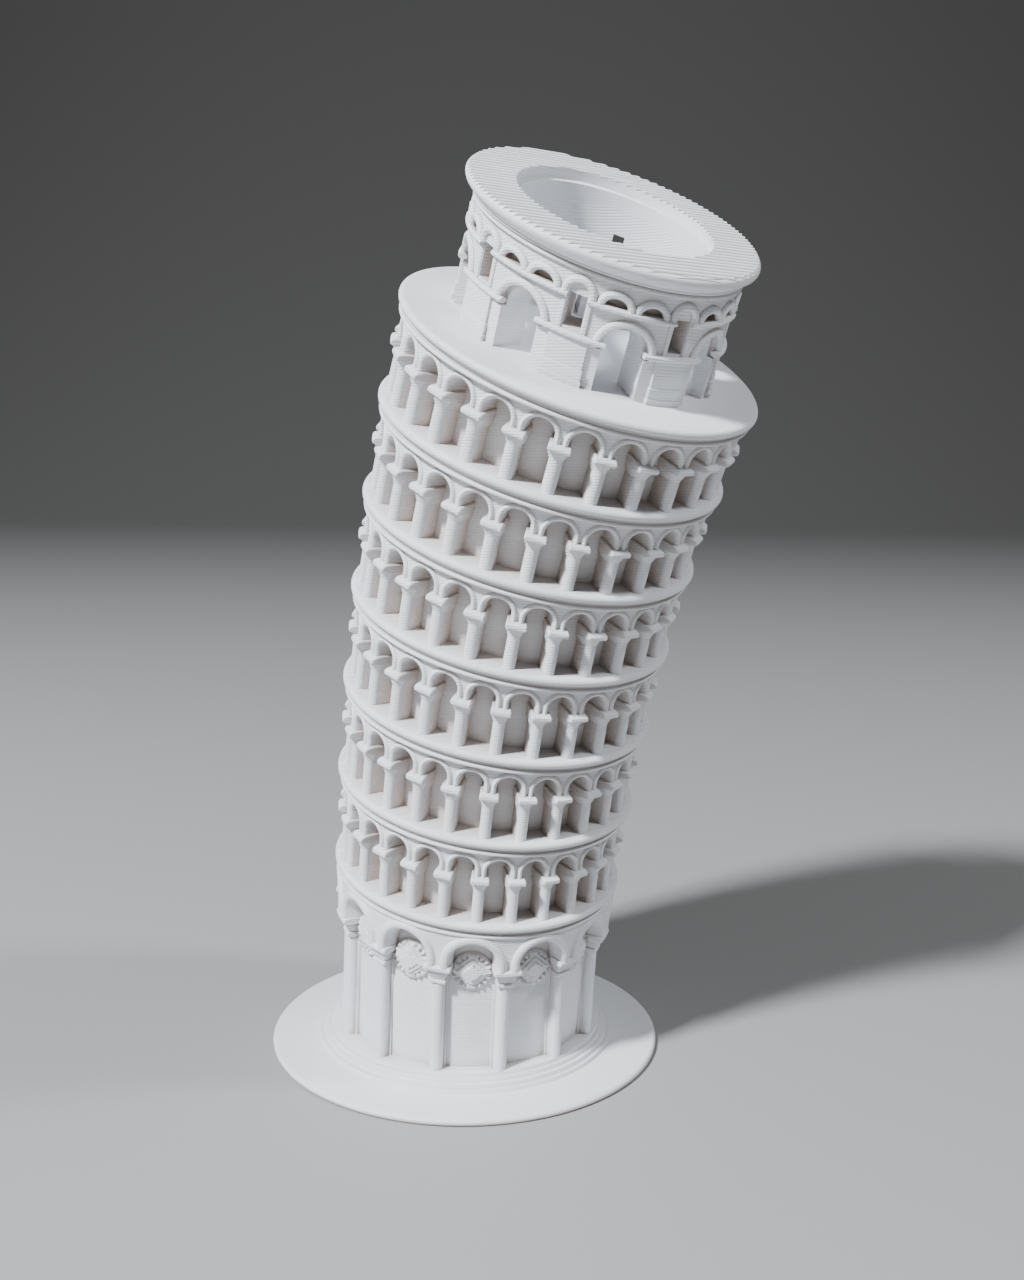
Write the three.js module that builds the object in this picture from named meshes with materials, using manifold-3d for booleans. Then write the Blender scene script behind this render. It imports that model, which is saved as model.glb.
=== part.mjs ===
// Miniature leaning bell tower: a base disc, a ground storey with blind arches, six open galleries,
// and a smaller belfry under a flat ring. Millimetres, +Z up, origin under the middle of the base disc.
//
// Every storey is drawn upright round the Z axis, with z as the distance along the tower's own axis.
// bend() then carries it onto the leaning, curved axis, so level faces stay flat and square to the axis.
import * as THREE from "three";
import { mergeVertices } from "three/addons/utils/BufferGeometryUtils.js";
import Module from "manifold-3d";

const wasm = await Module();
wasm.setup();

// ---- Driving dimensions -------------------------------------------------------------------------
const BASE_RADIUS = 25;
const BASE_THICKNESS = 0.9;
const GAP = 0.3; // clearance between neighbouring pieces

const PLINTH_RADII = [0.764, 0.742, 0.72, 0.7].map((share) => share * BASE_RADIUS);
const PLINTH_STEP = 0.42;

const STOREYS = 6; // open galleries, above the ground storey
const GROUND_HEIGHT = 0.989 * BASE_RADIUS; // base to the first cornice, along the axis
const GALLERY_HEIGHT = 0.457 * BASE_RADIUS; // first gallery, cornice to cornice
const GALLERY_SHRINK = 0.0072 * BASE_RADIUS; // each gallery is this much lower than the one below
const BELFRY_HEIGHT = 0.576 * BASE_RADIUS; // seventh cornice to the rim of the top ring

const FIRST_CORNICE_RADIUS = 0.718 * BASE_RADIUS;
const CORNICE_GROWTH = 0.0156 * BASE_RADIUS; // each cornice is this much wider than the one below
const CORNICE_BODY = 0.67; // from the widest line up to the floor above
const CORNICE_DROP = 0.055 * BASE_RADIUS; // from the widest line down to the underside

const BAYS = 26; // columns in each gallery
const GROUND_BAYS = 13;
const BELFRY_BAYS = 8;
const FACETS = 52; // sides of the round pieces, two to a gallery bay
const FRONT = -Math.PI / 2; // a gallery column stands on this bearing

const GROUND_WALL_RADIUS = 0.602 * BASE_RADIUS;
const GROUND_SHAFT_RADIUS = 0.668 * BASE_RADIUS;
const GROUND_ARCH_RADIUS = 0.7 * BASE_RADIUS;
const GROUND_ABACUS_RADIUS = 0.71 * BASE_RADIUS;
const GALLERY_WALL_INSET = 0.135 * BASE_RADIUS; // cornice edge to the inner drum
const ARCADE_BACK_INSET = 0.112 * BASE_RADIUS;
const ARCADE_FRONT_INSET = 0.03 * BASE_RADIUS;

const BELFRY_RADIUS = 0.572 * BASE_RADIUS;
const BELFRY_BORE = 0.405 * BASE_RADIUS;
const BELFRY_ARCH_BEARING = FRONT + (15.2 * Math.PI) / 180;
const RING_RADIUS = 0.636 * BASE_RADIUS;
const RING_BORE = 0.4265 * BASE_RADIUS;

// Lean of the axis as a turn towards +X and +Y, in radians: start, growth per base radius, and its growth.
const LEAN = [
  [0.0406, 0.0184, 0.0134],
  [-0.1009, -0.0485, -0.0086],
];
const LEAN_FROM = 0.11 * BASE_RADIUS; // the foot stands square on the base, and the lean sets in above it
const LEAN_FULL = 0.4 * BASE_RADIUS;
const AXIS_FOOT = [0.28, -0.7]; // where the tower's axis meets the base
const FLOOR_TURN = 0.037; // the floors turn this much further towards +X than the axis, at mid height
const FLOOR_TURN_FROM = 0.3 * BASE_RADIUS;
const FLOOR_TURN_TO = 4.1 * BASE_RADIUS;
const BELFRY_AXIS_SHIFT = [-0.0835, 0.0103]; // the belfry's axis against the top gallery's
const RING_SHIFT = [-0.0133, -0.0796]; // the top ring's plane against the seventh cornice's

const WHITE = new THREE.MeshStandardMaterial({ color: 0xe9eaee, roughness: 0.62, metalness: 0 });

// ---- The leaning axis ---------------------------------------------------------------------------
// Height of cornice number i (0 is the first) along the axis.
function corniceHeight(i) {
  return GROUND_HEIGHT + GALLERY_HEIGHT * i - (GALLERY_SHRINK * i * (i - 1)) / 2;
}

function corniceRadius(i) {
  return FIRST_CORNICE_RADIUS + CORNICE_GROWTH * i;
}

const BELFRY_FLOOR = corniceHeight(STOREYS);
const BELFRY_FOOT = BELFRY_FLOOR + CORNICE_BODY;

function leanAt(s) {
  const t = s / BASE_RADIUS;
  const eased = THREE.MathUtils.smoothstep(s, LEAN_FROM, LEAN_FULL);
  return LEAN.map(([start, rate, growth]) => eased * (start + rate * t + growth * t * t));
}

// Unit vector that leans by the two small turns.
function direction([tx, ty]) {
  const turn = Math.hypot(tx, ty);
  if (turn < 1e-9) return new THREE.Vector3(0, 0, 1);
  const side = Math.sin(turn) / turn;
  return new THREE.Vector3(side * tx, side * ty, Math.cos(turn));
}

const AXIS_STEP = BELFRY_FLOOR / 400;
const axisPoints = [new THREE.Vector3(AXIS_FOOT[0], AXIS_FOOT[1], 0)];
for (let j = 0; j < 400; j++) {
  const heading = direction(leanAt((j + 0.5) * AXIS_STEP));
  axisPoints.push(axisPoints[j].clone().addScaledVector(heading, AXIS_STEP));
}

// How much further than the axis a floor at distance s turns towards +X.
function floorTurn(s) {
  const share = (s - FLOOR_TURN_FROM) / (FLOOR_TURN_TO - FLOOR_TURN_FROM);
  return FLOOR_TURN * Math.sin(Math.PI * THREE.MathUtils.clamp(share, 0, 1));
}

// Centre and cross axes of the section at distance s along the axis.
function sectionAt(s) {
  let lean = leanAt(Math.min(s, BELFRY_FLOOR));
  let centre;
  if (s <= BELFRY_FLOOR) {
    const j = Math.min(Math.floor(s / AXIS_STEP), axisPoints.length - 1);
    centre = axisPoints[j].clone().addScaledVector(direction(lean), s - j * AXIS_STEP);
  } else {
    const rise = s - BELFRY_FLOOR;
    const heading = direction(lean.map((turn, k) => turn + BELFRY_AXIS_SHIFT[k]));
    const share = Math.min(rise / BELFRY_HEIGHT, 1);
    centre = axisPoints[axisPoints.length - 1].clone().addScaledVector(heading, rise);
    lean = lean.map((turn, k) => turn + RING_SHIFT[k] * share);
  }
  const normal = direction([lean[0] + floorTurn(Math.min(s, BELFRY_FLOOR)), lean[1]]);
  const across = new THREE.Vector3(0, 1, 0).cross(normal).normalize();
  const along = normal.clone().cross(across);
  return { centre, across, along };
}

// Moves an upright storey onto the leaning axis.
function bend(geometry) {
  const position = geometry.getAttribute("position");
  const point = new THREE.Vector3();
  for (let i = 0; i < position.count; i++) {
    const { centre, across, along } = sectionAt(position.getZ(i));
    point.copy(centre);
    point.addScaledVector(across, position.getX(i));
    point.addScaledVector(along, position.getY(i));
    position.setXYZ(i, point.x, point.y, point.z);
  }
  return geometry;
}

// ---- Solids -------------------------------------------------------------------------------------
function toSolid(geometry) {
  const bare = geometry.index ? geometry.toNonIndexed() : geometry.clone();
  bare.deleteAttribute("normal");
  bare.deleteAttribute("uv");
  const merged = mergeVertices(bare, 1e-4);
  return new wasm.Manifold(
    new wasm.Mesh({
      numProp: 3,
      vertProperties: new Float32Array(merged.attributes.position.array),
      triVerts: new Uint32Array(merged.index.array),
    }),
  );
}

function toGeometry(solid) {
  const mesh = solid.getMesh();
  const geometry = new THREE.BufferGeometry();
  geometry.setAttribute("position", new THREE.BufferAttribute(new Float32Array(mesh.vertProperties), 3));
  geometry.setIndex(new THREE.BufferAttribute(new Uint32Array(mesh.triVerts), 1));
  return geometry;
}

// A round piece from its [radius, height] outline, listed upwards on the outside.
function turned(outline, facets = FACETS) {
  const points = outline.map(([r, z]) => new THREE.Vector2(r, z));
  const geometry = new THREE.LatheGeometry(points, facets);
  geometry.rotateX(Math.PI / 2);
  geometry.rotateZ(FRONT + Math.PI / 2);
  return geometry;
}

function disc(outline) {
  const low = outline[0][1];
  const high = outline[outline.length - 1][1];
  return turned([[0, low], ...outline, [0, high]]);
}

// A round-headed opening, cut straight outwards from the axis on the given bearing.
function archCutter(halfWidth, sill, spring, bearing, reach) {
  const shape = new THREE.Shape();
  shape.moveTo(-halfWidth, sill);
  shape.lineTo(halfWidth, sill);
  shape.lineTo(halfWidth, spring);
  shape.absarc(0, spring, halfWidth, 0, Math.PI, false);
  const geometry = new THREE.ExtrudeGeometry(shape, {
    depth: reach,
    bevelEnabled: false,
    curveSegments: 8,
  });
  geometry.rotateX(Math.PI / 2);
  geometry.rotateZ(bearing + Math.PI / 2);
  return toSolid(geometry);
}

// A ring of columns that carry round arches, from one bay's outline. Half of the outline runs from the
// column's foot up to the arch's crown: across is a share of the bay, front is a radius.
function arcade({ bays, bearing, half, back, top, wallFront }) {
  const right = half.map((p) => ({ ...p }));
  const left = half.map((p) => ({ ...p, across: -p.across })).reverse();
  const outline = [
    ...right,
    { across: 0.5, z: top, front: wallFront },
    { across: -0.5, z: top, front: wallFront },
    ...left,
  ];
  const flat = outline.map((p) => new THREE.Vector2(p.across, p.z / GALLERY_HEIGHT));
  const faces = THREE.ShapeUtils.triangulateShape(flat, []);
  const crown = right.length - 1;
  const pitch = (2 * Math.PI) / bays;
  const positions = [];
  const put = (p, bay, radius) => {
    const angle = bearing + (bay + p.across) * pitch;
    positions.push(radius * Math.cos(angle), radius * Math.sin(angle), p.z);
  };
  for (let bay = 0; bay < bays; bay++) {
    for (const [a, b, c] of faces) {
      for (const i of [a, b, c]) put(outline[i], bay, outline[i].front);
      for (const i of [c, b, a]) put(outline[i], bay, back);
    }
    outline.forEach((p, i) => {
      const q = outline[(i + 1) % outline.length];
      const shared = i === crown || i === crown + 2;
      if (shared) return;
      put(p, bay, back);
      put(q, bay, back);
      put(q, bay, q.front);
      put(p, bay, back);
      put(q, bay, q.front);
      put(p, bay, p.front);
    });
  }
  const geometry = new THREE.BufferGeometry();
  geometry.setAttribute("position", new THREE.Float32BufferAttribute(positions, 3));
  return mergeVertices(geometry, 1e-4);
}

// Half of one bay: a shaft, a neck that widens to a square abacus, and a quarter of the round arch.
function bayHalf({ foot, neck, abacusLow, abacusHigh, shaft, abacus, arch, rise, front, abacusFront, wallFront }) {
  const points = [
    { across: shaft, z: foot, front },
    { across: shaft, z: neck, front },
    { across: abacus, z: abacusLow, front: abacusFront },
    { across: abacus, z: abacusHigh, front: abacusFront },
  ];
  for (const degrees of [0, 45, 90]) {
    const turn = THREE.MathUtils.degToRad(degrees);
    points.push({
      across: 0.5 - arch * Math.cos(turn),
      z: abacusHigh + rise * Math.sin(turn),
      front: wallFront,
    });
  }
  return points;
}

// ---- Pieces -------------------------------------------------------------------------------------
const PLINTH_FOOT = BASE_THICKNESS + GAP;
const PLINTH_TOP = PLINTH_FOOT + PLINTH_STEP * PLINTH_RADII.length;

function basePlate() {
  const round = BASE_THICKNESS / 2;
  const outline = [];
  for (let degrees = -90; degrees <= 90; degrees += 45) {
    const turn = THREE.MathUtils.degToRad(degrees);
    outline.push([BASE_RADIUS - round + round * Math.cos(turn), round + round * Math.sin(turn)]);
  }
  return disc(outline);
}

function steppedPlinth() {
  const outline = [];
  PLINTH_RADII.forEach((radius, i) => {
    outline.push([radius, PLINTH_FOOT + PLINTH_STEP * i]);
    outline.push([radius, PLINTH_FOOT + PLINTH_STEP * (i + 1)]);
  });
  return disc(outline);
}

// A four-sided raised panel under one blind arch.
function lozenge(bearing, height) {
  const size = 0.08 * BASE_RADIUS;
  const geometry = new THREE.CylinderGeometry(0.6 * size, size, GAP + 0.5, 4);
  geometry.rotateZ(-Math.PI / 2);
  geometry.translate(GROUND_WALL_RADIUS, 0, 0);
  geometry.rotateZ(bearing);
  geometry.translate(0, 0, height);
  return toSolid(geometry);
}

function groundDrum() {
  const top = GROUND_HEIGHT - CORNICE_DROP - GAP;
  let solid = toSolid(disc([[GROUND_WALL_RADIUS, PLINTH_TOP + GAP], [GROUND_WALL_RADIUS, top]]));
  const panelHeight = 0.765 * GROUND_HEIGHT;
  for (let bay = 0; bay < GROUND_BAYS; bay++) {
    solid = solid.add(lozenge(FRONT + (bay * 2 * Math.PI) / GROUND_BAYS, panelHeight));
  }
  return toGeometry(solid);
}

function groundArcade() {
  const foot = PLINTH_TOP + GAP;
  const wallFront = GROUND_ARCH_RADIUS;
  const half = bayHalf({
    foot,
    neck: 0.7 * GROUND_HEIGHT,
    abacusLow: 0.735 * GROUND_HEIGHT,
    abacusHigh: 0.772 * GROUND_HEIGHT,
    shaft: 0.11,
    abacus: 0.17,
    arch: 0.345,
    rise: 0.138 * GROUND_HEIGHT,
    front: GROUND_SHAFT_RADIUS,
    abacusFront: GROUND_ABACUS_RADIUS,
    wallFront,
  });
  return arcade({
    bays: GROUND_BAYS,
    bearing: FRONT + Math.PI / GROUND_BAYS,
    half,
    back: GROUND_WALL_RADIUS + 0.62,
    top: GROUND_HEIGHT - CORNICE_DROP - GAP,
    wallFront,
  });
}

// A floor disc with a rounded edge over a thin string moulding.
function cornice(i) {
  const radius = corniceRadius(i);
  const line = corniceHeight(i);
  const drop = CORNICE_DROP;
  return disc([
    [radius - 0.03 * BASE_RADIUS, line - drop],
    [radius - 0.016 * BASE_RADIUS, line - 0.5 * drop],
    [radius, line - 0.15 * drop],
    [radius, line + 0.35 * CORNICE_BODY],
    [radius - 0.02 * BASE_RADIUS, line + CORNICE_BODY],
  ]);
}

function galleryFoot(i) {
  return corniceHeight(i) + CORNICE_BODY + GAP;
}

function galleryTop(i) {
  return corniceHeight(i + 1) - CORNICE_DROP - GAP;
}

function galleryDrum(i) {
  const radius = corniceRadius(i) - GALLERY_WALL_INSET;
  return disc([[radius, galleryFoot(i)], [radius, galleryTop(i)]]);
}

function galleryArcade(i) {
  const low = corniceHeight(i);
  const height = corniceHeight(i + 1) - low;
  const radius = corniceRadius(i);
  const wallFront = radius - ARCADE_FRONT_INSET;
  const half = bayHalf({
    foot: galleryFoot(i),
    neck: low + 0.43 * height,
    abacusLow: low + 0.51 * height,
    abacusHigh: low + 0.61 * height,
    shaft: 0.17,
    abacus: 0.25,
    arch: 0.335,
    rise: 0.19 * height,
    front: wallFront,
    abacusFront: radius,
    wallFront,
  });
  return arcade({
    bays: BAYS,
    bearing: FRONT,
    half,
    back: radius - ARCADE_BACK_INSET,
    top: galleryTop(i),
    wallFront,
  });
}

function belfryWall() {
  const foot = BELFRY_FOOT + GAP;
  const top = BELFRY_FLOOR + 0.79 * BELFRY_HEIGHT;
  const impost = BELFRY_FLOOR + 0.4 * BELFRY_HEIGHT;
  const tube = [
    [BELFRY_BORE, foot],
    [BELFRY_RADIUS, foot],
    [BELFRY_RADIUS, top],
    [BELFRY_BORE, top],
    [BELFRY_BORE, foot],
  ];
  let solid = toSolid(turned(tube, 40));
  const bay = (2 * Math.PI) / BELFRY_BAYS;
  for (let i = 0; i < BELFRY_BAYS; i++) {
    const bearing = BELFRY_ARCH_BEARING + i * bay;
    const archHalf = 0.088 * BASE_RADIUS;
    const windowHalf = 0.042 * BASE_RADIUS;
    solid = solid.subtract(archCutter(archHalf, foot - 1, impost, bearing, BASE_RADIUS));
    const sill = BELFRY_FLOOR + 0.42 * BELFRY_HEIGHT;
    const spring = BELFRY_FLOOR + 0.69 * BELFRY_HEIGHT;
    solid = solid.subtract(archCutter(windowHalf, sill, spring, bearing + bay / 2, BASE_RADIUS));
  }
  return toGeometry(solid);
}

// The moulding that closes the belfry wall, below the ring.
function belfryCornice() {
  const low = BELFRY_FLOOR + 0.79 * BELFRY_HEIGHT + GAP;
  const high = BELFRY_FLOOR + 0.87 * BELFRY_HEIGHT;
  return turned([
    [BELFRY_BORE, low],
    [BELFRY_RADIUS, low],
    [BELFRY_RADIUS + 0.3, low + 0.35 * (high - low)],
    [BELFRY_RADIUS + 0.3, high],
    [BELFRY_BORE, high],
    [BELFRY_BORE, low],
  ]);
}

// The flat ring on top: its underside flares out, and its hole is chamfered.
function topRing() {
  const low = BELFRY_FLOOR + 0.87 * BELFRY_HEIGHT + GAP;
  const rim = BELFRY_FLOOR + BELFRY_HEIGHT;
  const face = rim + 0.45;
  return turned([
    [BELFRY_BORE, low],
    [BELFRY_RADIUS + 0.3, low],
    [BELFRY_RADIUS + 0.7, low + 0.5 * (rim - low)],
    [RING_RADIUS - 0.25, low + 0.75 * (rim - low)],
    [RING_RADIUS, rim],
    [RING_RADIUS - 0.25, face],
    [RING_BORE, face],
    [BELFRY_BORE, face - 0.6],
    [BELFRY_BORE, low],
  ]);
}

// ---- Assembly -----------------------------------------------------------------------------------
const tower = new THREE.Group();
tower.name = "leaning_bell_tower";

function add(name, geometry) {
  const mesh = new THREE.Mesh(geometry, WHITE.clone());
  mesh.name = name;
  tower.add(mesh);
}

add("base_plate", basePlate());
add("stepped_plinth", steppedPlinth());
add("ground_drum", bend(groundDrum()));
add("ground_arcade", bend(groundArcade()));
for (let i = 0; i <= STOREYS; i++) {
  add("cornice_" + (i + 1), bend(cornice(i)));
}
for (let i = 0; i < STOREYS; i++) {
  add("gallery_" + (i + 1) + "_drum", bend(galleryDrum(i)));
  add("gallery_" + (i + 1) + "_arcade", bend(galleryArcade(i)));
}
add("belfry_wall", bend(belfryWall()));
add("belfry_cornice", bend(belfryCornice()));
add("top_ring", bend(topRing()));

export default tower;
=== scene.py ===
"""Looks of the miniature leaning tower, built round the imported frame.

Every storey is drawn upright in millimetres, with z as the distance along the tower's own axis, and
bend() carries it onto the leaning axis. Shapes that repeat round the tower are drawn as a flat
pattern of (along the wall, out of the wall, up) and wrapped round a cylinder.
"""

import math

import bmesh
import bpy
import numpy as np
from mathutils import Matrix, Vector


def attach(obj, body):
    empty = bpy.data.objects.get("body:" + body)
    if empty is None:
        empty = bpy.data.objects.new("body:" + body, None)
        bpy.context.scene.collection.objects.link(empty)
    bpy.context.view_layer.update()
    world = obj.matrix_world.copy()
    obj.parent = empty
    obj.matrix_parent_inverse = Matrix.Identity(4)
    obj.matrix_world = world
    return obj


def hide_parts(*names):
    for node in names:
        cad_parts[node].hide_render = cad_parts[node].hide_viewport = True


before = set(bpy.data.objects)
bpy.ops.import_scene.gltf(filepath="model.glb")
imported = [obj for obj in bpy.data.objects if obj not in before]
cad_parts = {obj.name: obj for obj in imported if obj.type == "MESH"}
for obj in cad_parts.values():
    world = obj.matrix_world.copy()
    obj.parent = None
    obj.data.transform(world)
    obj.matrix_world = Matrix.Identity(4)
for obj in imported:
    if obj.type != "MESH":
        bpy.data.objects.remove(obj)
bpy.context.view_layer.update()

# ---- Driving dimensions, as in the frame, in millimetres ----------------------------------------
R = 25.0  # radius of the base disc
BASE_THICKNESS = 0.9
PLINTH_RADII = [share * R for share in (0.764, 0.742, 0.72, 0.7)]
PLINTH_STEP = 0.47
STOREYS = 6
GROUND_HEIGHT = 0.989 * R
GALLERY_HEIGHT = 0.457 * R
GALLERY_SHRINK = 0.0072 * R
BELFRY_HEIGHT = 0.576 * R
FIRST_CORNICE_RADIUS = 0.718 * R
CORNICE_GROWTH = 0.0156 * R
BAYS = 26
GROUND_BAYS = 13
BELFRY_BAYS = 8
FRONT = -math.pi / 2
GROUND_WALL_RADIUS = 0.602 * R
GROUND_SHAFT_RADIUS = 0.668 * R
GROUND_ARCH_RADIUS = 0.7 * R
GROUND_ABACUS_RADIUS = 0.71 * R
ARCADE_FRONT_INSET = 0.03 * R
GALLERY_WALL_INSET = 0.135 * R
BELFRY_RADIUS = 0.572 * R
BELFRY_BORE = 0.405 * R
BELFRY_ARCH_BEARING = FRONT + math.radians(15.2)
RING_RADIUS = 0.636 * R
RING_BORE = 0.4265 * R
# Lean towards +X and +Y in radians, at t times R up the tower: a + b t + c t^2.
LEAN = ((0.0406, 0.0184, 0.0134), (-0.1009, -0.0485, -0.0086))
LEAN_FROM = 0.11 * R  # upright below this
LEAN_FULL = 0.4 * R  # the whole lean from here up
AXIS_FOOT = np.array((0.28, -0.7, 0.0))
FLOOR_TURN = 0.037  # how much further towards +X than the axis the floors turn, half way up
FLOOR_TURN_FROM = 0.3 * R
FLOOR_TURN_TO = 4.1 * R
BELFRY_AXIS_SHIFT = np.array((-0.0835, 0.0103))  # turn of the belfry's axis from the top storey's
RING_SHIFT = np.array((-0.0133, -0.0796))  # turn of the ring from the top floor
LAYER = 0.3  # height of one printed layer
TERRACE = 0.4  # height of one printed step on the sloping face of the top ring
MM = 0.001

FLOOR_TOP = 0.67  # a cornice's floor, above its widest line
STRING_LOW = -1.3  # underside of the string below a cornice


def cornice_height(i):
    return GROUND_HEIGHT + GALLERY_HEIGHT * i - GALLERY_SHRINK * i * (i - 1) / 2


def cornice_radius(i):
    return FIRST_CORNICE_RADIUS + CORNICE_GROWTH * i


BELFRY_FLOOR = cornice_height(STOREYS)


# ---- The leaning axis ---------------------------------------------------------------------------
def lean_at(s):
    t = s / R
    eased = np.clip((s - LEAN_FROM) / (LEAN_FULL - LEAN_FROM), 0, 1)
    eased = eased * eased * (3 - 2 * eased)
    return np.stack([eased * (a + b * t + c * t * t) for a, b, c in LEAN], axis=-1)


def direction(turns):
    size = np.maximum(np.hypot(turns[..., 0], turns[..., 1]), 1e-9)
    side = np.sin(size) / size
    return np.stack([side * turns[..., 0], side * turns[..., 1], np.cos(size)], axis=-1)


AXIS_STEPS = 400
AXIS_STEP = BELFRY_FLOOR / AXIS_STEPS
_steps = direction(lean_at((np.arange(AXIS_STEPS) + 0.5) * AXIS_STEP)) * AXIS_STEP
AXIS = AXIS_FOOT + np.vstack([np.zeros(3), np.cumsum(_steps, axis=0)])


def bend(points):
    """Upright millimetres to millimetres on the leaning tower."""
    points = np.asarray(points, float)
    s = points[:, 2]
    low = np.minimum(s, BELFRY_FLOOR)
    turns = lean_at(low)
    step = np.clip((low / AXIS_STEP).astype(int), 0, AXIS_STEPS)
    centre = AXIS[step] + (low - step * AXIS_STEP)[:, None] * direction(turns)
    rise = np.maximum(s - BELFRY_FLOOR, 0)[:, None]
    centre = centre + rise * direction(turns + BELFRY_AXIS_SHIFT)
    turns = turns + RING_SHIFT * np.minimum(rise / BELFRY_HEIGHT, 1)
    share = np.clip((low - FLOOR_TURN_FROM) / (FLOOR_TURN_TO - FLOOR_TURN_FROM), 0, 1)
    turns[:, 0] += FLOOR_TURN * np.sin(math.pi * share)
    normal = direction(turns)
    across = np.cross((0.0, 1.0, 0.0), normal)
    across /= np.linalg.norm(across, axis=1, keepdims=True)
    along = np.cross(normal, across)
    return centre + across * points[:, :1] + along * points[:, 1:2]


# ---- Shells: closed surfaces as points and faces ------------------------------------------------
class Shell:
    def __init__(self):
        self.points = []
        self.faces = []
        self.count = 0

    def add(self, points, faces):
        points = np.asarray(points, float).reshape(-1, 3)
        self.points.append(points)
        self.faces += [[i + self.count for i in face] for face in faces]
        self.count += len(points)
        return self

    def join(self, other):
        return self.add(other.array(), other.faces)

    def array(self):
        return np.vstack(self.points)

    def wrapped(self, radius, bearings):
        """Copies of a flat pattern on a cylinder of that radius, one at each bearing."""
        flat = self.array()
        out = Shell()
        for bearing in bearings:
            angle = bearing + flat[:, 0] / radius
            reach = radius + flat[:, 1]
            points = np.stack([reach * np.cos(angle), reach * np.sin(angle), flat[:, 2]], axis=-1)
            out.add(points, self.faces)
        return out

    def lifted(self, height):
        return Shell().add(self.array() + (0, 0, height), self.faces)


def grid_faces(rows, columns, wrap_rows=False, wrap_columns=False):
    faces = []
    for i in range(rows if wrap_rows else rows - 1):
        for j in range(columns if wrap_columns else columns - 1):
            k, m = (i + 1) % rows, (j + 1) % columns
            faces.append([i * columns + j, i * columns + m, k * columns + m, k * columns + j])
    return faces


def loft(rings, ends=True):
    """A skin over closed rings of equal length, capped at both ends, or closed on itself."""
    rings = np.asarray(rings, float)
    rows, columns = rings.shape[:2]
    faces = grid_faces(rows, columns, wrap_rows=not ends, wrap_columns=True)
    if ends:
        faces.append(list(range(columns)))
        faces.append(list(range((rows - 1) * columns, rows * columns)))
    return Shell().add(rings, faces)


def turned(outline, sides=208, closed=False):
    """A lathed piece from (radius, height) points; a closed outline makes a ring."""
    angle = FRONT + np.arange(sides) * 2 * math.pi / sides
    rings = [
        np.stack([r * np.cos(angle), r * np.sin(angle), np.full(sides, z)], axis=-1)
        for r, z in outline
    ]
    return loft(rings, ends=not closed)


def arc(centre, radius, start, end, steps):
    """Points of a circular arc in the (radius, height) plane, in degrees."""
    turns = np.radians(np.linspace(start, end, steps + 1))
    return [(centre[0] + radius * math.cos(a), centre[1] + radius * math.sin(a)) for a in turns]


def post(profile, out, sides):
    """An upright turned post in a flat pattern, from (radius, height) points."""
    angle = np.arange(sides) * 2 * math.pi / sides
    return loft([
        np.stack([r * np.cos(angle), out + r * np.sin(angle), np.full(sides, z)], axis=-1)
        for r, z in profile
    ])


def bar(width, back, front, low, high, soft=0.5, bevel=0.12, steps=20, rows=4, along=0.0):
    """A bar that lies along the wall, with a rounded section and softened ends."""
    angle = np.arange(steps) * 2 * math.pi / steps
    cos, sin = np.cos(angle), np.sin(angle)
    out = (front + back) / 2 + (front - back) / 2 * np.sign(cos) * np.abs(cos) ** soft
    up = (low + high) / 2 + (high - low) / 2 * np.sign(sin) * np.abs(sin) ** soft
    middle = ((front + back) / 2, (low + high) / 2)
    rings = []
    inner = np.linspace(-width / 2 + bevel, width / 2 - bevel, rows)
    for place, shrink in [(-width / 2, bevel), *((p, 0.0) for p in inner), (width / 2, bevel)]:
        share_out = 1 - 2 * shrink / (front - back)
        share_up = 1 - 2 * shrink / (high - low)
        rings.append(np.stack([
            np.full(steps, along + place),
            middle[0] + (out - middle[0]) * share_out,
            middle[1] + (up - middle[1]) * share_up,
        ], axis=-1))
    return loft(rings)


def rod(path, out, radius, depth, steps=10):
    """A rounded moulding that follows (along, up) points on the wall, centred that far out of it."""
    path = np.asarray(path, float)
    tangent = np.gradient(path, axis=0)
    tangent /= np.linalg.norm(tangent, axis=1, keepdims=True)
    side = np.stack([-tangent[:, 1], tangent[:, 0]], axis=-1)
    angle = np.arange(steps) * 2 * math.pi / steps
    rings = [
        np.stack([
            p[0] + n[0] * radius * np.cos(angle),
            out + depth * np.sin(angle),
            p[1] + n[1] * radius * np.cos(angle),
        ], axis=-1)
        for p, n in zip(path, side)
    ]
    return loft(rings)


def hood(radius, spring, centre, steps=18, legs=3):
    """The (along, up) line of a stilted round arch, from right foot to left foot."""
    turns = np.linspace(0, math.pi, steps + 1)
    curve = [(radius * math.cos(a), centre + radius * math.sin(a)) for a in turns]
    if centre - spring < 0.05:
        return curve
    stilts = np.linspace(spring, centre, legs)[:-1]
    return [(radius, z) for z in stilts] + curve + [(-radius, z) for z in stilts[::-1]]


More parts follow.
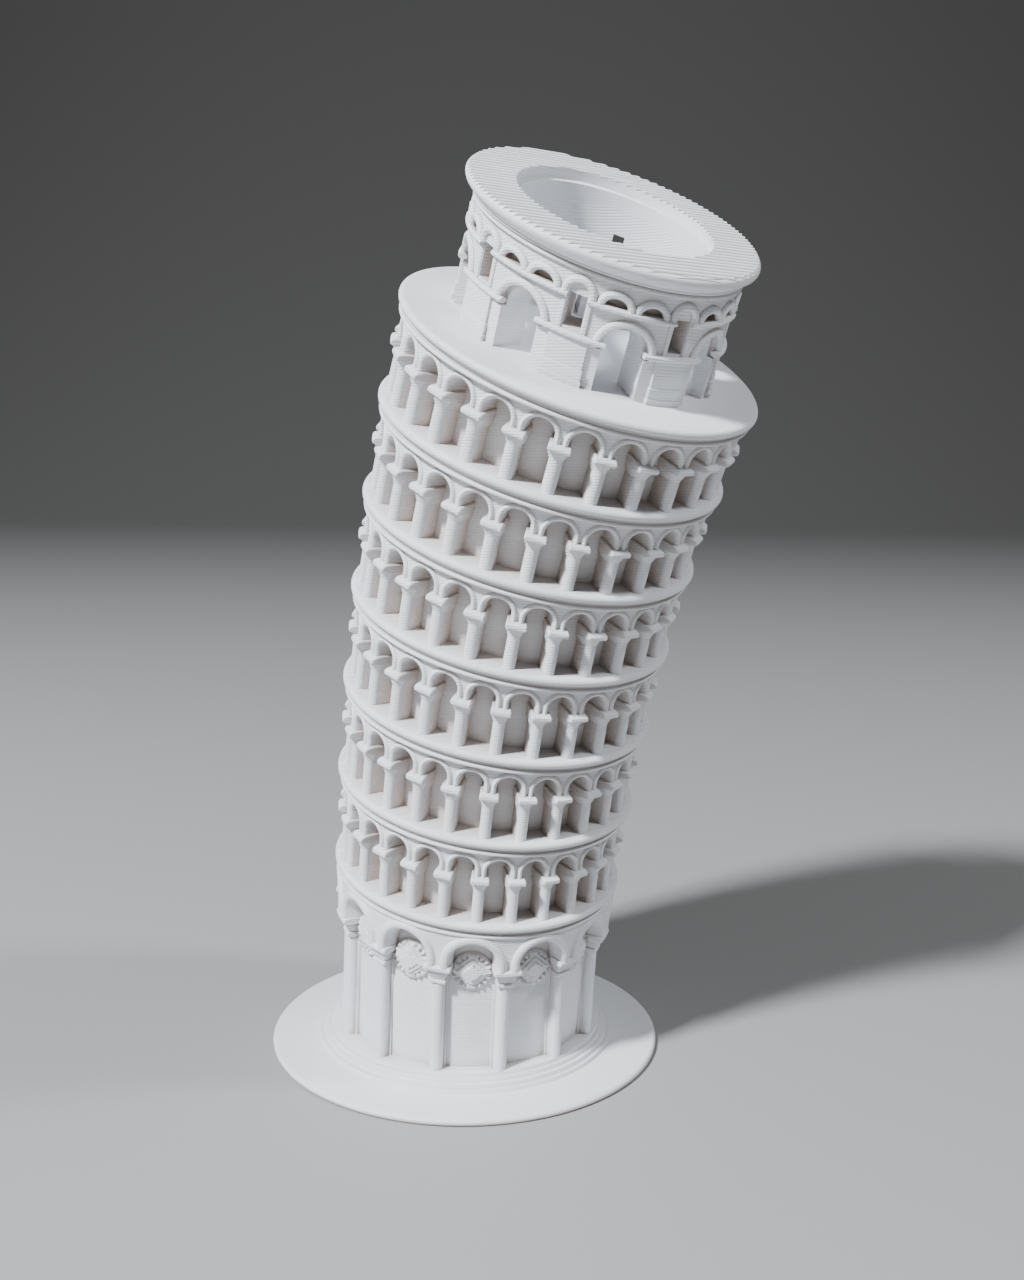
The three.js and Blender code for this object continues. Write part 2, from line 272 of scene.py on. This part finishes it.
def arch_wall(half, low, centre, top, rings, front, back, steps=18):
    """One bay of a wall with a round-headed opening, open at its sides to meet the next bay.
    rings are (radius, out) pairs from the back edge of the opening to the face of the wall."""
    corner = math.atan2(top - centre, half)
    sliver = 0.06  # radians: a point this near a corner is left out
    turns = [a for a in np.linspace(0, math.pi, steps + 1)
             if min(abs(a - corner), abs(a - math.pi + corner)) > sliver]
    turns = np.sort(turns + [corner, math.pi - corner])
    stilts = list(np.linspace(low, centre, 3)[:-1])

    def ring(radius, out):
        points = [(radius, out, z) for z in stilts]
        points += [(radius * math.cos(a), out, centre + radius * math.sin(a)) for a in turns]
        return points + [(-radius, out, z) for z in stilts[::-1]]

    def edge(out):
        points = [(half, out, z) for z in stilts]
        for a in turns:
            if a <= corner + 1e-6:
                points.append((half, out, centre + half * math.tan(a)))
            elif a >= math.pi - corner - 1e-6:
                points.append((-half, out, centre + half * math.tan(math.pi - a)))
            else:
                points.append(((top - centre) / math.tan(a), out, top))
        return points + [(-half, out, z) for z in stilts[::-1]]

    loops = np.array([ring(r, out) for r, out in rings] + [edge(front), edge(back)])
    rows, columns = loops.shape[:2]
    faces = []
    for face in grid_faces(rows, columns, wrap_rows=True):
        corners = loops.reshape(-1, 3)[face]
        on_side = np.all(np.abs(np.abs(corners[:, 0]) - half) < 1e-6)
        if not on_side:
            faces.append(face)
    faces.append([i * columns for i in range(rows)])
    faces.append([i * columns + columns - 1 for i in range(rows)])
    return Shell().add(loops, faces)


def prism(outline, back, front):
    """A flat (along, up) outline given thickness out of the wall."""
    return loft([[(x, out, z) for x, z in outline] for out in (back, front)])


# ---- Objects ------------------------------------------------------------------------------------
JOIN = 2e-6  # metres within which two points of a shown piece are one
WORK_JOIN = 2e-3  # the same for shells in millimetres


def mesh_of(points, faces, name, join):
    mesh = bpy.data.meshes.new(name)
    mesh.from_pydata([tuple(p) for p in points], [], faces)
    work = bmesh.new()
    work.from_mesh(mesh)
    bmesh.ops.remove_doubles(work, verts=work.verts, dist=join)
    bmesh.ops.recalc_face_normals(work, faces=work.faces)
    work.to_mesh(mesh)
    work.free()
    return mesh


def carve(shell, tool, operation="DIFFERENCE"):
    """The exact boolean of two shells, as a new shell."""
    pair = []
    for part in (shell, tool):
        thing = bpy.data.objects.new("work", mesh_of(part.array(), part.faces, "work", WORK_JOIN))
        bpy.context.scene.collection.objects.link(thing)
        pair.append(thing)
    body, cutter = pair
    modifier = body.modifiers.new("carve", "BOOLEAN")
    modifier.operation = operation
    modifier.solver = "EXACT"
    modifier.object = cutter
    bpy.context.view_layer.update()
    evaluated = body.evaluated_get(bpy.context.evaluated_depsgraph_get())
    mesh = evaluated.to_mesh()
    points = np.array([v.co[:] for v in mesh.vertices])
    faces = [list(face.vertices) for face in mesh.polygons]
    evaluated.to_mesh_clear()
    for thing in pair:
        mesh = thing.data
        bpy.data.objects.remove(thing)
        bpy.data.meshes.remove(mesh)
    return Shell().add(points, faces)


def show(name, shell, node, material, bent=True, sharp=38):
    """Makes the visible piece that stands for one CAD node."""
    points = shell.array()
    if bent:
        points = bend(points)
    mesh = mesh_of(points * MM, shell.faces, name, JOIN)
    mesh.polygons.foreach_set("use_smooth", [True] * len(mesh.polygons))
    mesh.set_sharp_from_angle(angle=math.radians(sharp))
    piece = bpy.data.objects.new(name, mesh)
    bpy.context.scene.collection.objects.link(piece)
    piece.data.materials.append(material)
    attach(piece, "root")
    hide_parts(node)
    return piece


# ---- Material -----------------------------------------------------------------------------------
class Recipe:
    """The shader nodes of one material. A term is a number, a colour or another node's output."""

    def __init__(self, name):
        self.material = bpy.data.materials.new(name)
        self.material.use_nodes = True
        self.nodes = self.material.node_tree.nodes
        self.links = self.material.node_tree.links
        self.shader = self.nodes["Principled BSDF"]
        self.place = self.nodes.new("ShaderNodeTexCoord").outputs["Object"]

    def feed(self, node, terms):
        for name, term in terms.items():
            if isinstance(term, bpy.types.NodeSocket):
                self.links.new(term, node.inputs[name])
            else:
                node.inputs[name].default_value = term
        return node

    def maths(self, operation, *terms):
        node = self.nodes.new("ShaderNodeMath")
        node.operation = operation
        return self.feed(node, dict(enumerate(terms))).outputs[0]

    def noise(self, scale, detail, vector=None):
        vector = self.place if vector is None else vector
        node = self.nodes.new("ShaderNodeTexNoise")
        return self.feed(node, {"Scale": scale, "Detail": detail, "Vector": vector}).outputs["Fac"]

    def remap(self, terms, curve="LINEAR"):
        node = self.nodes.new("ShaderNodeMapRange")
        node.interpolation_type = curve
        return self.feed(node, terms).outputs["Result"]


def layer_beads(recipe, pitch):
    """One rounded bead for each printed layer, with a narrow valley between layers."""
    split = recipe.nodes.new("ShaderNodeSeparateXYZ")
    recipe.links.new(recipe.place, split.inputs[0])
    # A slow wander, in metres, keeps the lines from looking ruled.
    wander = 0.00006
    level = recipe.maths("MULTIPLY_ADD", recipe.noise(90.0, 2.0), wander, split.outputs["Z"])
    wave = recipe.maths("SINE", recipe.maths("MULTIPLY", level, 2 * math.pi / pitch))
    return recipe.remap({"From Min": -1.0, "From Max": 0.2, "Value": wave}, "SMOOTHERSTEP")


def layer_strays(recipe, pitch):
    """Each layer comes out a little wider or narrower than the next."""
    squash = recipe.nodes.new("ShaderNodeMapping")
    recipe.feed(squash, {"Scale": (0.02, 0.02, 1.0), "Vector": recipe.place})
    return recipe.noise(1.0 / pitch, 1.0, squash.outputs["Vector"])


def tone_and_valley_shade(recipe, beads):
    """Cloudy difference in whiteness, with painted shade that makes the valleys between layers slightly
    darker.
    """
    cloud = recipe.noise(120.0, 3.0)
    # Painted shade: the bead term darkens the colour in the valleys between layers; the cloud is the
    # plastic's own uneven tone.
    tone = recipe.maths("MULTIPLY_ADD", cloud, 0.5, recipe.maths("MULTIPLY", beads, 0.5))
    ramp = recipe.nodes.new("ShaderNodeValToRGB")
    dim, bright = ramp.color_ramp.elements
    dim.position, dim.color = 0.1, (0.72, 0.725, 0.75, 1)
    bright.position, bright.color = 0.9, (0.80, 0.815, 0.85, 1)
    recipe.links.new(tone, ramp.inputs["Fac"])
    return ramp.outputs["Color"]


def painted_hollow_shade(recipe, colour):
    """Painted shade: the colour turns warm and dim in the hollows, where ambient occlusion finds them.
    """
    reach = 0.004
    hollow = recipe.nodes.new("ShaderNodeAmbientOcclusion")
    hollow.samples = 6
    hollow.inputs["Distance"].default_value = reach
    depth = recipe.remap({"From Min": 0.15, "From Max": 0.62, "Value": hollow.outputs["AO"]})
    # Painted shade: the base colour is mixed towards a warm dim brown where the hollows are deep.
    hollow_shade = recipe.nodes.new("ShaderNodeMix")
    hollow_shade.data_type = "RGBA"
    recipe.feed(hollow_shade, {"A": (0.5, 0.43, 0.385, 1), "Factor": depth, "B": colour})
    return hollow_shade.outputs["Result"]


def print_material(name, ridge, grain):
    """Matt white plastic in level layers; ridge and grain are how strongly lines and specks show."""
    recipe = Recipe(name)
    pitch, bead_height = LAYER * MM, 0.00004
    beads = layer_beads(recipe, pitch)
    fine = recipe.noise(5200.0, 3.0)
    height = recipe.maths("MULTIPLY_ADD", layer_strays(recipe, pitch), 0.7, beads)
    height = recipe.maths("MULTIPLY_ADD", fine, grain, height)
    bump = recipe.nodes.new("ShaderNodeBump")
    recipe.feed(bump, {"Strength": ridge, "Distance": bead_height, "Height": height})
    gloss = recipe.remap({"To Min": 0.5, "To Max": 0.68, "Value": fine})
    recipe.feed(recipe.shader, {
        # The base colour carries painted shade in the layer valleys and in the hollows.
        "Base Color": painted_hollow_shade(recipe, tone_and_valley_shade(recipe, beads)),
        "Roughness": gloss,
        "Normal": bump.outputs["Normal"],
        "IOR": 1.46,
        "Specular IOR Level": 0.4,
        "Subsurface Weight": 0.06,
        "Subsurface Radius": (1.0, 0.8, 0.65),
        "Subsurface Scale": 0.0008,
    })
    return recipe.material


layered = print_material("white_print_layered", ridge=0.6, grain=0.35)
smooth = print_material("white_print_smooth", ridge=0.12, grain=0.5)


# ---- Base ---------------------------------------------------------------------------------------
def base_disc():
    rim = BASE_THICKNESS / 2
    inset = 0.15  # the flat underside ends this far inside the rounded rim
    return turned([(R - rim - inset, 0.0), *arc((R - rim, rim), rim, -80, 90, 8)], sides=256)


def plinth_steps():
    sink, riser, batter, feather = 0.05, 0.2, 0.03, 0.14
    outline = [(PLINTH_RADII[0] + sink, BASE_THICKNESS - sink)]
    for i, radius in enumerate(PLINTH_RADII):
        low = BASE_THICKNESS + PLINTH_STEP * i
        outline += [(radius, low), (radius - batter, low + riser), (radius - feather, low + PLINTH_STEP)]
    return turned(outline)


show("base_disc", base_disc(), "base_plate", smooth, bent=False)
show("plinth_steps", plinth_steps(), "stepped_plinth", smooth, bent=False)

# ---- Ground storey ------------------------------------------------------------------------------
SUNK = 0.1  # how far a piece is let into the one under it
PLINTH_TOP = BASE_THICKNESS + PLINTH_STEP * len(PLINTH_RADII)
GROUND_FOOT = PLINTH_TOP - SUNK
GROUND_TOP = GROUND_HEIGHT + STRING_LOW
GROUND_PITCH = 2 * math.pi * GROUND_ARCH_RADIUS / GROUND_BAYS
GROUND_DEPTH = GROUND_ARCH_RADIUS - GROUND_WALL_RADIUS
GROUND_COLUMNS = [FRONT + (k + 0.5) * 2 * math.pi / GROUND_BAYS for k in range(GROUND_BAYS)]
GROUND_ARCHES = [FRONT + k * 2 * math.pi / GROUND_BAYS for k in range(GROUND_BAYS)]


def lozenge(radius, height):
    """A round boss: a saw-toothed rim round a stepped diamond."""
    spokes, rows = 72, 17
    tall = 1.06  # height over width
    rim_share, rim_lift, tooth_lift, floor_lift = 0.66, 0.4, 0.45, 0.2
    steps = [(1.02, 0.72), (0.78, 0.95), (0.5, 1.15)]  # each diamond's size and lift
    angle = np.arange(spokes) * 2 * math.pi / spokes
    tooth = np.abs((np.arange(spokes) % 4) - 2) / 2
    rings = []
    for share in np.linspace(1.0, 0.06, rows):
        reach = radius * share
        x, z = reach * np.cos(angle), reach * np.sin(angle) * tall
        from_middle = np.abs(x) + np.abs(z)
        on_rim = np.clip((share - rim_share) / 0.06, 0, 1)
        lift = (rim_lift + tooth_lift * tooth * np.clip((1.0 - share) / 0.12, 0, 1)) * on_rim
        lift = np.maximum(lift, floor_lift)
        for size, top in steps:
            lift = np.maximum(lift, top * np.clip((size * radius - from_middle) / 0.14, 0, 1))
        if share == 1.0:
            rings.append(np.stack([x, np.full(spokes, -0.3), z], axis=-1))
            lift = np.full(spokes, 0.16)
        rings.append(np.stack([x, lift, z], axis=-1))
    return loft(rings).lifted(height)


def ground_wall():
    drum = turned([(GROUND_WALL_RADIUS, GROUND_FOOT), (GROUND_WALL_RADIUS, GROUND_TOP + SUNK)])
    return drum.join(lozenge(2.45, 0.712 * R).wrapped(GROUND_WALL_RADIUS, GROUND_ARCHES))


def ground_column():
    """An engaged round shaft on stepped strips, with a tiered capital under its abacus."""
    shaft = 0.86
    out = GROUND_SHAFT_RADIUS - GROUND_ARCH_RADIUS - shaft
    back = -GROUND_DEPTH - 0.2
    neck, head = 0.66 * R, 0.7 * R
    column = post([(shaft, GROUND_FOOT), (shaft, neck)], out=out, sides=26)
    # Strips behind the shaft: how much wider, how far behind its middle, top, bevel.
    strips = [(-0.02, 0.0, neck, 0.02), (0.62, 0.42, head, 0.1), (1.1, 0.95, head, 0.1)]
    for wider, behind, top, bevel in strips:
        column.join(bar(2 * shaft + wider, back, out - behind, GROUND_FOOT, top, soft=0.1, bevel=bevel))
    # Neck ring, bell and cushion: underside and top as shares of R, swell, softness.
    tiers = [(0.648, 0.674, 0.2, 0.5), (0.672, 0.73, 0.12, 0.3), (0.692, 0.735, 0.36, 0.3)]
    for low, high, swell, soft in tiers:
        column.join(bar(2 * (shaft + swell), back, out + shaft + swell, low * R, high * R,
                        soft=soft, bevel=0.1, steps=24))
    abacus_front = GROUND_ABACUS_RADIUS - GROUND_ARCH_RADIUS
    return column.join(bar(0.4 * GROUND_PITCH, back - 0.8, abacus_front, 0.725 * R, 0.765 * R,
                           soft=0.62, bevel=0.14, rows=5, steps=24))


def ground_arches():
    opening = 0.34 * GROUND_PITCH
    back, face = -GROUND_DEPTH - 0.15, -0.22
    # From the splayed inside of the arch, over its rounded band, to the wall's face.
    band = [
        (-0.34, back), (-0.3, -GROUND_DEPTH + 0.4), (-0.1, -0.5), (-0.03, -0.35), (0.02, -0.1),
        (0.14, 0.08), (0.36, 0.2), (0.64, 0.22), (0.88, 0.12), (1.0, -0.06), (1.12, -0.2),
    ]
    trim = [(opening + past, out) for past, out in band]
    wall = arch_wall(GROUND_PITCH / 2, 0.75 * R, 0.787 * R, GROUND_TOP + 0.2, trim, face, back)
    arcade = wall.wrapped(GROUND_ARCH_RADIUS, GROUND_ARCHES)
    return arcade.join(ground_column().wrapped(GROUND_ARCH_RADIUS, GROUND_COLUMNS))


show("ground_wall", ground_wall(), "ground_drum", layered)
show("ground_arches", ground_arches(), "ground_arcade", layered)


# ---- Cornices -----------------------------------------------------------------------------------
def cornice(i):
    """A floor disc with a rounded edge, over a thin string moulding."""
    roll, string = 0.5, 0.24  # radii of the two mouldings
    radius, line = cornice_radius(i), cornice_height(i)
    return turned([
        (radius - 1.6, line + STRING_LOW - 0.05),
        (radius - 0.66, line + STRING_LOW),
        *arc((radius - 0.6, line - 1.06), string, -90, 60, 5),
        (radius - 0.74, line - 0.8),
        (radius - 0.78, line - 0.56),
        *arc((radius - roll, line + FLOOR_TOP - roll), roll, -118, 90, 12),
        (radius - 0.9, line + FLOOR_TOP + 0.02),
    ])


for i in range(STOREYS + 1):
    show(f"cornice_roll_{i + 1}", cornice(i), f"cornice_{i + 1}", smooth)


# ---- Galleries ----------------------------------------------------------------------------------
class Gallery:
    """One gallery between two cornices. Heights inside it are shares of its own height."""

    def __init__(self, i):
        self.low = cornice_height(i)
        self.height = cornice_height(i + 1) - self.low
        self.foot = self.low + FLOOR_TOP - SUNK
        self.top = cornice_height(i + 1) + STRING_LOW + 0.2
        self.wall_radius = cornice_radius(i) - GALLERY_WALL_INSET
        self.face = cornice_radius(i) - ARCADE_FRONT_INSET
        self.pitch = 2 * math.pi * self.face / BAYS
        self.back = self.wall_radius - self.face - 0.15

    def at(self, share):
        return self.low + share * self.height

    def drum(self):
        return turned([(self.wall_radius, self.foot), (self.wall_radius, self.top)])

    def column(self):
        """A half-round shaft whose straight sides run back to the drum, with its capital."""
        shaft = 0.165 * self.pitch
        cap_low, cap_high = self.at(0.51), self.at(0.61)
        bell_top = cap_low + 0.1
        profile = [
            (shaft * 1.05, self.foot), (shaft, self.foot + 0.5), (shaft, self.at(0.42)),
            (shaft * 1.02, self.at(0.435)), (shaft * 1.35, self.at(0.49)), (shaft * 1.5, bell_top),
        ]
        column = post(profile, out=-shaft + 0.02, sides=20)
        fins = [
            (1.0, self.foot, self.at(0.44)),
            (1.18, self.at(0.42), self.at(0.475)),
            (1.4, self.at(0.455), bell_top),
        ]
        for swell, low, high in fins:
            width = 2 * shaft * swell - 0.04
            column.join(bar(width, self.back, -shaft, low, high, soft=0.1, bevel=0.02))
        return column.join(bar(0.5 * self.pitch, self.back - 0.8, 0.78, cap_low, cap_high,
                               soft=0.7, bevel=0.12, rows=4))

    def arches(self):
        opening = 0.332 * self.pitch
        centre = self.at(0.8) - opening
        # From the inside of the arch, over its rounded band, to the wall's face.
        band = [
            (-0.1, self.back), (-0.02, -0.5), (0.0, -0.22), (0.05, -0.02), (0.16, 0.13),
            (0.34, 0.2), (0.5, 0.14), (0.59, 0.0), (0.64, -0.12),
        ]
        trim = [(opening + past, out) for past, out in band]
        wall = arch_wall(self.pitch / 2, self.at(0.57), centre, self.top, trim, -0.12, self.back)
        bearings = [FRONT + k * 2 * math.pi / BAYS for k in range(BAYS)]
        between = [b + math.pi / BAYS for b in bearings]
        arcade = wall.wrapped(self.face, between)
        return arcade.join(self.column().wrapped(self.face, bearings))


for i in range(STOREYS):
    gallery = Gallery(i)
    show(f"gallery_{i + 1}_wall", gallery.drum(), f"gallery_{i + 1}_drum", layered)
    show(f"gallery_{i + 1}_arches", gallery.arches(), f"gallery_{i + 1}_arcade", layered)


# ---- Belfry -------------------------------------------------------------------------------------
def up(share):
    return BELFRY_FLOOR + share * BELFRY_HEIGHT


BAY = 2 * math.pi / BELFRY_BAYS
BAY_WIDTH = BAY * BELFRY_RADIUS
ARCH_BEARINGS = [BELFRY_ARCH_BEARING + k * BAY for k in range(BELFRY_BAYS)]
PIER_BEARINGS = [b + BAY / 2 for b in ARCH_BEARINGS]
BLIND_BEARINGS = [b + turn for b in ARCH_BEARINGS for turn in (-BAY / 6, BAY / 6)]
BELFRY_FOOT = BELFRY_FLOOR + FLOOR_TOP - SUNK
ARCH_HALF, ARCH_CENTRE = 2.25, up(0.385)
WINDOW_HALF, WINDOW_SILL, WINDOW_TOP = 0.93, up(0.44), up(0.688)
BLIND_HALF, BLIND_FOOT = 1.42, up(0.685)
IMPOST, COURSE = up(0.4), up(0.668)
RING_FOOT = up(0.884)
INSIDE, OUTSIDE = -8.0, 6.0  # a cut between these goes right through the wall


def belfry_tube():
    top = up(0.86)
    return turned([
        (BELFRY_BORE, BELFRY_FOOT), (BELFRY_RADIUS + 0.1, BELFRY_FOOT),
        (BELFRY_RADIUS, BELFRY_FOOT + 0.5), (BELFRY_RADIUS, up(0.6)),
        (BELFRY_RADIUS, top), (BELFRY_BORE, top),
    ], sides=192, closed=True)


def belfry_openings():
    """The eight open arches and the eight square-headed windows between them."""
    arch = prism(hood(ARCH_HALF, BELFRY_FOOT - 1, ARCH_CENTRE), INSIDE, OUTSIDE)
    window = prism([
        (-WINDOW_HALF, WINDOW_SILL), (WINDOW_HALF, WINDOW_SILL),
        (WINDOW_HALF, WINDOW_TOP), (-WINDOW_HALF, WINDOW_TOP),
    ], INSIDE, OUTSIDE)
    openings = arch.wrapped(BELFRY_RADIUS, ARCH_BEARINGS)
    return openings.join(window.wrapped(BELFRY_RADIUS, PIER_BEARINGS))


def belfry_recesses():
    """The shallow step round each open arch and the blind arches above it."""
    step = prism(hood(ARCH_HALF + 0.5, up(0.36), ARCH_CENTRE), -0.7, OUTSIDE)
    blind = prism(hood(BLIND_HALF, BLIND_FOOT, BLIND_FOOT), -0.8, OUTSIDE)
    recesses = step.wrapped(BELFRY_RADIUS, ARCH_BEARINGS)
    return recesses.join(blind.wrapped(BELFRY_RADIUS, BLIND_BEARINGS))


def belfry_hoods():
    """The rounded mouldings over the open arches, the blind arches and the windows."""
    over_arch = rod(hood(ARCH_HALF + 0.72, IMPOST, ARCH_CENTRE), 0.08, 0.44, 0.36)
    blind_line = np.array(hood(BLIND_HALF + 0.12, BLIND_FOOT, BLIND_FOOT))
    blind_line[:, 1] = BLIND_FOOT + 0.84 * (blind_line[:, 1] - BLIND_FOOT)
    over_blind = rod(blind_line, 0.08, 0.42, 0.42)
    over_window = rod(hood(WINDOW_HALF + 0.44, up(0.67), up(0.7)), 0.08, 0.44, 0.42)
    hoods = over_arch.wrapped(BELFRY_RADIUS, ARCH_BEARINGS)
    hoods.join(over_blind.wrapped(BELFRY_RADIUS, BLIND_BEARINGS))
    return hoods.join(over_window.wrapped(BELFRY_RADIUS, PIER_BEARINGS))


def belfry_pier():
    """A pier between two open arches: impost, pilaster on two plinth bands, window jambs."""
    reach = BAY_WIDTH / 2 - ARCH_HALF + 0.22
    pier = rod([(x, IMPOST) for x in np.linspace(-reach, reach, 13)], 0.16, 0.32, 0.5)
    pier.join(bar(4.0, -0.6, 0.3, BELFRY_FOOT, up(0.39), soft=0.12, bevel=0.05, steps=16))
    pier.join(bar(4.2, -0.6, 0.42, BELFRY_FOOT, up(0.175), soft=0.12, bevel=0.07, steps=16))
    pier.join(bar(4.4, -0.6, 0.56, BELFRY_FOOT, up(0.09), soft=0.12, bevel=0.07, steps=16))
    for side in (-1, 1):
        jamb = side * (WINDOW_HALF + 0.34)
        pier.join(bar(0.5, -0.5, 0.2, up(0.41), up(0.67), soft=0.3, bevel=0.1, along=jamb))
    return pier


def belfry_course():
    """The rounded course under the blind arches, from window to window."""
    reach = BAY_WIDTH / 2 - WINDOW_HALF - 0.1
    return rod([(x, COURSE) for x in np.linspace(-reach, reach, 15)], 0.14, 0.32, 0.48)


def belfry_tower():
    body = carve(belfry_tube(), belfry_openings())
    body = carve(body, belfry_recesses())
    dressing = belfry_hoods()
    dressing.join(belfry_pier().wrapped(BELFRY_RADIUS, PIER_BEARINGS))
    dressing.join(belfry_course().wrapped(BELFRY_RADIUS, ARCH_BEARINGS))
    return body.join(dressing)


def belfry_moulding():
    outer = BELFRY_RADIUS
    return turned([
        (BELFRY_BORE, up(0.845)), (outer - 0.1, up(0.845)), (outer + 0.12, up(0.85)),
        *arc((outer + 0.2, up(0.862)), 0.2, -80, 70, 4), (outer + 0.16, up(0.879)),
        (outer + 0.1, RING_FOOT), (BELFRY_BORE, RING_FOOT),
    ], closed=True)


show("belfry_tower", belfry_tower(), "belfry_wall", layered, sharp=30)
show("belfry_moulding", belfry_moulding(), "belfry_cornice", smooth)

# ---- Top ring -----------------------------------------------------------------------------------
RING_FACE = up(1.0) + 0.45


def whole_ring():
    """The ring on the leaning tower, taller than its face, before the steps are cut."""
    low, outer, edge = RING_FOOT, BELFRY_RADIUS, 0.5
    over, ledge = RING_FACE + 0.6, 1.0
    ring = turned([
        (BELFRY_BORE, low), (outer + 0.1, low), (outer + 0.42, low + 0.08), (outer + 0.46, low + 0.24),
        (outer + 0.42, low + 0.34), (outer + 0.62, low + 0.5), (outer + 0.98, low + 0.78),
        (RING_RADIUS - 0.42, low + 1.02), (RING_RADIUS - 0.16, low + 1.22),
        *arc((RING_RADIUS - edge, up(1.0) - 0.02), edge, -20, 75, 8),
        (RING_RADIUS - 0.42, over), (RING_BORE, over), (RING_BORE, RING_FACE - ledge),
        (BELFRY_BORE, RING_FACE - ledge - 0.1),
    ], closed=True)
    return Shell().add(bend(ring.array()), ring.faces)


def terraces():
    """A solid whose top falls like the ring's face, in level steps with rounded edges."""
    on_face = np.array([(0, 0, RING_FACE), (1, 0, RING_FACE), (0, 1, RING_FACE)], float)
    centre, beside, behind = bend(on_face)
    normal = np.cross(beside - centre, behind - centre)
    downhill = np.array((normal[0], normal[1], 0.0))
    downhill = downhill / np.linalg.norm(downhill)
    level = np.array((-downhill[1], downhill[0], 0.0))
    run = TERRACE / (math.hypot(normal[0], normal[1]) / normal[2])
    half_run, half_width, depth = 18.0, 20.0, -30.0
    count = int(2 * half_run / run)
    bead = np.array(arc((0.0, 0.0), 1.0, 84, -84, 8)) * (0.17, TERRACE / 2)
    profile = []
    for k in range(-count // 2, count // 2 + 1):
        profile += [(k * run + a, -k * TERRACE + h) for a, h in bead]
    profile = [(profile[0][0], depth), *profile, (profile[-1][0], depth)]
    drop = np.array((0, 0, 0.08))
    return loft([
        [centre + downhill * a + level * side + np.array((0, 0, h)) - drop for a, h in profile]
        for side in (-half_width, half_width)
    ])


ring = carve(whole_ring(), terraces(), "INTERSECT")
show("ring_top", ring, "top_ring", smooth, bent=False, sharp=24)


# ---- Floor, light and camera --------------------------------------------------------------------
def plain_material(name, colour, roughness):
    material = bpy.data.materials.new(name)
    material.use_nodes = True
    shader = material.node_tree.nodes["Principled BSDF"]
    shader.inputs["Base Color"].default_value = (*colour, 1)
    shader.inputs["Roughness"].default_value = roughness
    return material


def floor_sweep():
    """A plain floor that curves up into a backdrop, in metres."""
    bend_start, bend_radius = 1.1, 1.2
    line = [
        (-3.0, 0.0), (bend_start, 0.0), *arc((bend_start, bend_radius), bend_radius, -90, 0, 24),
        (bend_start + bend_radius, 4.0),
    ]
    mesh = bpy.data.meshes.new("floor")
    mesh.from_pydata(
        [(x, y, z) for y, z in line for x in (-4, 4)], [],
        [(2 * i, 2 * i + 1, 2 * i + 3, 2 * i + 2) for i in range(len(line) - 1)],
    )
    mesh.polygons.foreach_set("use_smooth", [True] * len(mesh.polygons))
    mesh.materials.append(plain_material("floor_grey", (0.34, 0.335, 0.33), 0.7))
    return bpy.data.objects.new("floor", mesh)


floor = floor_sweep()
bpy.context.scene.collection.objects.link(floor)

world = bpy.data.worlds.new("studio")
bpy.context.scene.world = world
world.use_nodes = True
world.node_tree.nodes["Background"].inputs["Color"].default_value = (1.0, 0.90, 0.82, 1)
world.node_tree.nodes["Background"].inputs["Strength"].default_value = 0.035

TARGET = Vector((0.006, -0.010, 0.055))  # the middle of the tower


def softbox(name, bearing, elevation, distance, size, power, colour):
    """A square area light on a bearing from the front, turned towards the tower."""
    light = bpy.data.lights.new(name, "AREA")
    light.shape = "SQUARE"
    light.size = size
    light.energy = power
    light.color = colour
    lamp = bpy.data.objects.new(name, light)
    turn, rise = math.radians(bearing) + FRONT, math.radians(elevation)
    away = Vector((math.cos(turn) * math.cos(rise), math.sin(turn) * math.cos(rise), math.sin(rise)))
    lamp.location = TARGET + away * distance
    lamp.rotation_euler = away.to_track_quat("Z", "Y").to_euler()
    bpy.context.scene.collection.objects.link(lamp)


softbox("key", -44, 42, 0.9, 0.09, 21.0, (0.92, 0.96, 1.0))
softbox("fill", 72, 48, 0.9, 0.10, 4.2, (0.93, 0.96, 1.0))

EYE = Vector((0.0, -0.16282, 0.07643))
PITCH, YAW, ROLL = 0.1471, -0.0336, -0.0134
SENSOR = 36.0
LENS = 45.703125
camera_data = bpy.data.cameras.new("camera")
camera_data.sensor_fit = "HORIZONTAL"
camera_data.sensor_width = SENSOR
camera_data.lens = LENS
camera_data.clip_start = 0.005
camera = bpy.data.objects.new("camera", camera_data)
turn = (
    Matrix.Rotation(YAW, 3, "Z")
    @ Matrix.Rotation(-PITCH, 3, "X")
    @ Matrix.Rotation(ROLL, 3, "Y")
    @ Matrix.Rotation(math.pi / 2, 3, "X")
)
camera.matrix_world = Matrix.Translation(EYE) @ turn.to_4x4()
bpy.context.scene.collection.objects.link(camera)
bpy.context.scene.camera = camera
